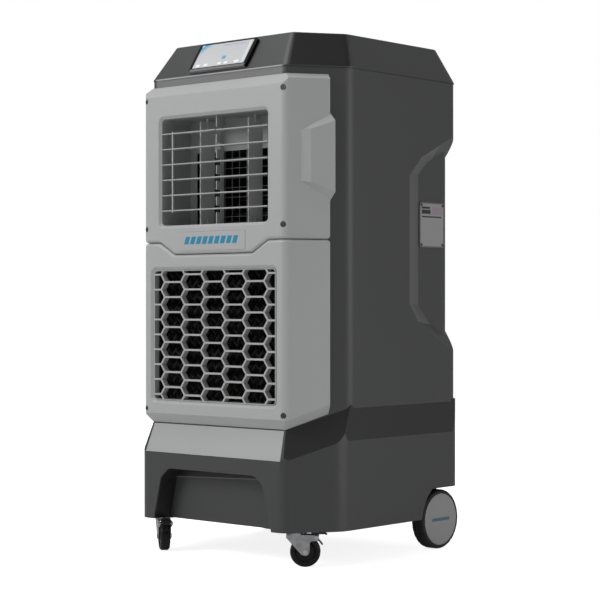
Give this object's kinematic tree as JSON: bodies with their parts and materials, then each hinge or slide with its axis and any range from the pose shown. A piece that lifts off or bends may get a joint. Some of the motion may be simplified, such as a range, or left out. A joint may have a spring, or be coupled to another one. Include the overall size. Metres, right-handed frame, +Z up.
{
  "type": "evaporative cooler",
  "caption": "Tall wheeled evaporative cooler: dark moulded cabinet, light front panels, louvred outlet, honeycomb intake, sloped display, braked casters.",
  "frame": {"origin": "on the floor, midway between the sides and midway between the front and rear faces", "axes": "+Z up, -Y towards the air outlet, +X towards the object's left as seen by the cooler, which is the right side for a person facing the outlet"},
  "size_m": [0.642, 0.601, 1.27],
  "materials": {
    "shell": "fine textured dark grey moulding",
    "hood": "satin dark grey moulding",
    "base": "fine textured dark grey moulding",
    "panel": "satin light grey moulding",
    "trim": "satin light grey band",
    "grille": "satin light grey honeycomb grille",
    "rear_grille": "satin dark grey honeycomb grille",
    "guard": "dark coated wire guard",
    "outlet": "light grey moulded duct",
    "louvre": "satin light grey blades",
    "bezel": "gloss black frame",
    "screen": "pale blue-grey display window",
    "circuit": "green board with black components",
    "badge": "plain light grey plate with no lettering",
    "steel": "bright turned steel",
    "screw": "blackened screws",
    "zinc": "zinc plated pressed steel",
    "motor": "dark enamelled can",
    "blower": "grey moulded scroll and wheel",
    "pad": "stiff fluted cellulose pad",
    "pipe": "grey water pipe",
    "pump": "black pump body",
    "float": "amber hollow float",
    "valve": "cast brass fitting",
    "tyre": "black rubber",
    "hub": "mid grey wheel cap",
    "caster_wheel": "black nylon",
    "lever": "black brake pedal",
    "plate": "blank rating plate with no lettering"
  },
  "bodies": {
    "cabinet": {"base_tank": "base", "base_front_trim": "trim", "cabinet_shell": "shell", "top_hood": "hood", "display_housing": "bezel", "display_screen": "screen", "control_board": "circuit", "upper_front_panel": "panel", "lower_front_panel": "panel", "badge_plate": "badge", "panel_screws": "screw", "hex_grille": "grille", "rear_grille": "rear_grille", "outlet_duct": "outlet", "fan_guard": "guard", "vane_motor": "pump", "blower_housing": "blower", "blower_motor": "motor", "motor_mount": "zinc", "front_pad": "pad", "rear_pad": "pad", "pump": "pump", "riser_tube": "pipe", "rear_manifold": "pipe", "front_manifold": "pipe", "float_valve": "valve", "hose_inlet": "valve", "power_inlet": "bezel", "nameplate": "plate", "nameplate_screws": "screw", "rear_axle": "steel", "axle_brackets": "zinc", "caster_plate_right": "zinc", "caster_plate_left": "zinc"},
    "slat_1_body": {"slat_1": "louvre"},
    "slat_2_body": {"slat_2": "louvre"},
    "slat_3_body": {"slat_3": "louvre"},
    "slat_4_body": {"slat_4": "louvre"},
    "slat_5_body": {"slat_5": "louvre"},
    "slat_6_body": {"slat_6": "louvre"},
    "slat_bar": {"slat_link": "louvre"},
    "vane_left_body": {"vane_left": "louvre"},
    "vane_right_body": {"vane_right": "louvre"},
    "vane_bar": {"vane_link": "louvre"},
    "blower": {"blower_wheel": "blower", "blower_shaft": "steel"},
    "rear_wheel_left": {"rear_tyre_left": "tyre", "rear_hub_left": "hub"},
    "rear_wheel_right": {"rear_tyre_right": "tyre", "rear_hub_right": "hub"},
    "caster_right": {"caster_fork_right": "zinc", "caster_pins_right": "steel"},
    "caster_roller_right": {"caster_wheel_right": "caster_wheel"},
    "brake_right": {"brake_pedal_right": "lever"},
    "caster_left": {"caster_fork_left": "zinc", "caster_pins_left": "steel"},
    "caster_roller_left": {"caster_wheel_left": "caster_wheel"},
    "brake_left": {"brake_pedal_left": "lever"},
    "float": {"float_arm": "float"},
    "drain": {"drain_cap": "lever"}
  },
  "joints": [
    {"name": "slat_1_tilt", "type": "hinge", "parent": "cabinet", "child": "slat_1_body", "pos_m": [0, -0.276, 1.044], "axis": [1, 0, 0], "range_deg": [-30, 30]},
    {"name": "slat_2_tilt", "type": "hinge", "parent": "cabinet", "child": "slat_2_body", "pos_m": [0, -0.276, 1.0057], "axis": [1, 0, 0], "range_deg": [-30, 30]},
    {"name": "slat_3_tilt", "type": "hinge", "parent": "cabinet", "child": "slat_3_body", "pos_m": [0, -0.276, 0.9674], "axis": [1, 0, 0], "range_deg": [-30, 30]},
    {"name": "slat_4_tilt", "type": "hinge", "parent": "cabinet", "child": "slat_4_body", "pos_m": [0, -0.276, 0.9291], "axis": [1, 0, 0], "range_deg": [-30, 30]},
    {"name": "slat_5_tilt", "type": "hinge", "parent": "cabinet", "child": "slat_5_body", "pos_m": [0, -0.276, 0.8908], "axis": [1, 0, 0], "range_deg": [-30, 30]},
    {"name": "slat_6_tilt", "type": "hinge", "parent": "cabinet", "child": "slat_6_body", "pos_m": [0, -0.276, 0.8525], "axis": [1, 0, 0], "range_deg": [-30, 30]},
    {"name": "slat_bar_pivot", "type": "hinge", "parent": "slat_1_body", "child": "slat_bar", "pos_m": [-0.1435, -0.285, 1.044], "axis": [1, 0, 0], "range_deg": [-30, 30]},
    {"name": "vane_left_swing", "type": "hinge", "parent": "cabinet", "child": "vane_left_body", "pos_m": [-0.0815, -0.226, 0.9], "axis": [0, 0, 1], "range_deg": [-30, 30]},
    {"name": "vane_right_swing", "type": "hinge", "parent": "cabinet", "child": "vane_right_body", "pos_m": [0.0815, -0.226, 0.9], "axis": [0, 0, 1], "range_deg": [-30, 30]},
    {"name": "vane_bar_pivot", "type": "hinge", "parent": "vane_left_body", "child": "vane_bar", "pos_m": [-0.0815, -0.211, 0.803], "axis": [0, 0, 1], "range_deg": [-30, 30]},
    {"name": "blower_spin", "type": "hinge", "parent": "cabinet", "child": "blower", "pos_m": [0, 0.015, 0.79], "axis": [1, 0, 0], "continuous": true},
    {"name": "rear_wheel_left_spin", "type": "hinge", "parent": "cabinet", "child": "rear_wheel_left", "pos_m": [-0.28, 0.228, 0.075], "axis": [1, 0, 0], "continuous": true},
    {"name": "rear_wheel_right_spin", "type": "hinge", "parent": "cabinet", "child": "rear_wheel_right", "pos_m": [0.28, 0.228, 0.075], "axis": [1, 0, 0], "continuous": true},
    {"name": "caster_right_swivel", "type": "hinge", "parent": "cabinet", "child": "caster_right", "pos_m": [0.225, -0.241, 0.08], "axis": [0, 0, 1], "continuous": true},
    {"name": "caster_right_spin", "type": "hinge", "parent": "caster_right", "child": "caster_roller_right", "pos_m": [0.24338, -0.22557, 0.036], "axis": [-0.6428, 0.766, 0], "continuous": true},
    {"name": "brake_right_press", "type": "hinge", "parent": "caster_right", "child": "brake_right", "pos_m": [0.2633, -0.20886, 0.07], "axis": [-0.6428, 0.766, 0], "range_deg": [0, 14]},
    {"name": "caster_left_swivel", "type": "hinge", "parent": "cabinet", "child": "caster_left", "pos_m": [-0.225, -0.241, 0.08], "axis": [0, 0, 1], "continuous": true},
    {"name": "caster_left_spin", "type": "hinge", "parent": "caster_left", "child": "caster_roller_left", "pos_m": [-0.20583, -0.25544, 0.036], "axis": [0.6018, 0.7986, 0], "continuous": true},
    {"name": "brake_left_press", "type": "hinge", "parent": "caster_left", "child": "brake_left", "pos_m": [-0.18507, -0.27109, 0.07], "axis": [0.6018, 0.7986, 0], "range_deg": [0, 14]},
    {"name": "float_swing", "type": "hinge", "parent": "cabinet", "child": "float", "pos_m": [0.15, 0.232, 0.146], "axis": [1, 0, 0], "range_deg": [-32, 0]},
    {"name": "drain_cap_turn", "type": "hinge", "parent": "cabinet", "child": "drain", "pos_m": [-0.06, 0.28, 0.108], "axis": [0, 1, 0], "range_deg": [0, 90]}
  ],
  "couplings": [
    {"joint": "slat_2_tilt", "follows": "slat_1_tilt", "ratio": 1},
    {"joint": "slat_3_tilt", "follows": "slat_1_tilt", "ratio": 1},
    {"joint": "slat_4_tilt", "follows": "slat_1_tilt", "ratio": 1},
    {"joint": "slat_5_tilt", "follows": "slat_1_tilt", "ratio": 1},
    {"joint": "slat_6_tilt", "follows": "slat_1_tilt", "ratio": 1},
    {"joint": "slat_bar_pivot", "follows": "slat_1_tilt", "ratio": -1},
    {"joint": "vane_right_swing", "follows": "vane_left_swing", "ratio": 1},
    {"joint": "vane_bar_pivot", "follows": "vane_left_swing", "ratio": -1}
  ]
}
